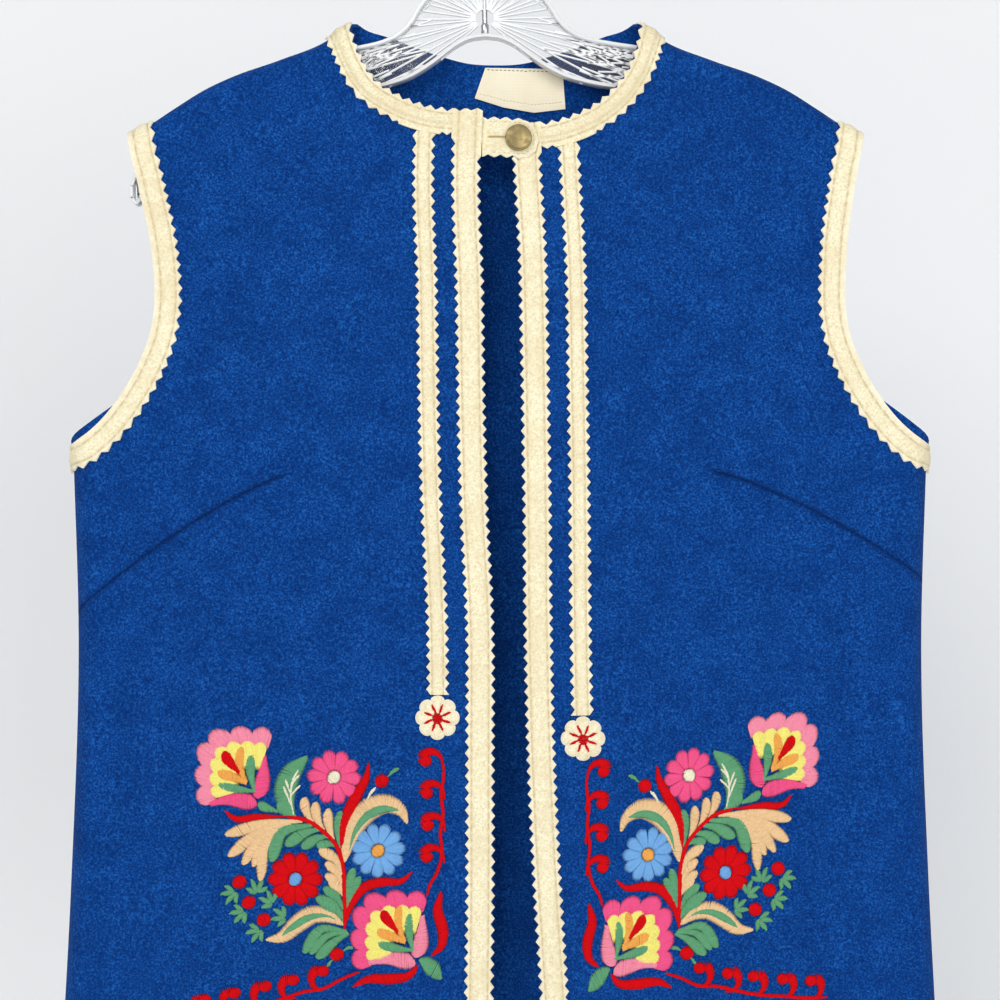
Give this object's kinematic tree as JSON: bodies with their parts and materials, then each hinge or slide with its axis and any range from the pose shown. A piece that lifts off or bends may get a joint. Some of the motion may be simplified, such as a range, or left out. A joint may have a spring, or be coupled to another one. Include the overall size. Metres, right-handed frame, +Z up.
{
  "type": "embroidered folk vest on a hanger",
  "caption": "Sleeveless felt folk vest with pinked trims, a tab and button at the neck and embroidered corners, hanging on a clear hanger.",
  "frame": {"origin": "inner top of the hanger's hook, where the rail carries it", "axes": "+Z up, the front of the vest faces -Y, +X is the viewer's right when looking at the front"},
  "size_m": [0.4782, 0.0398, 0.6597],
  "materials": {
    "blue_felt": "fulled wool with a short nap",
    "cream_felt": "pressed wool felt, matt",
    "brass": "aged satin",
    "label_cotton": "plain cotton, matt",
    "clear_plastic": "clear, polished",
    "steel": "bright plated wire"
  },
  "bodies": {
    "root": {"front_panel_left": "blue_felt", "front_panel_right": "blue_felt", "back_panel": "blue_felt", "armhole_trim_left": "cream_felt", "armhole_trim_right": "cream_felt", "neck_trim": "cream_felt", "front_edge_trim_left": "cream_felt", "front_edge_trim_right": "cream_felt", "front_strip_left": "cream_felt", "front_strip_right": "cream_felt", "rosette_left": "cream_felt", "rosette_right": "cream_felt", "closing_tab": "cream_felt", "button": "brass", "neck_label": "label_cotton", "hanger_body": "clear_plastic", "hanger_hook": "steel"}
  },
  "joints": []
}
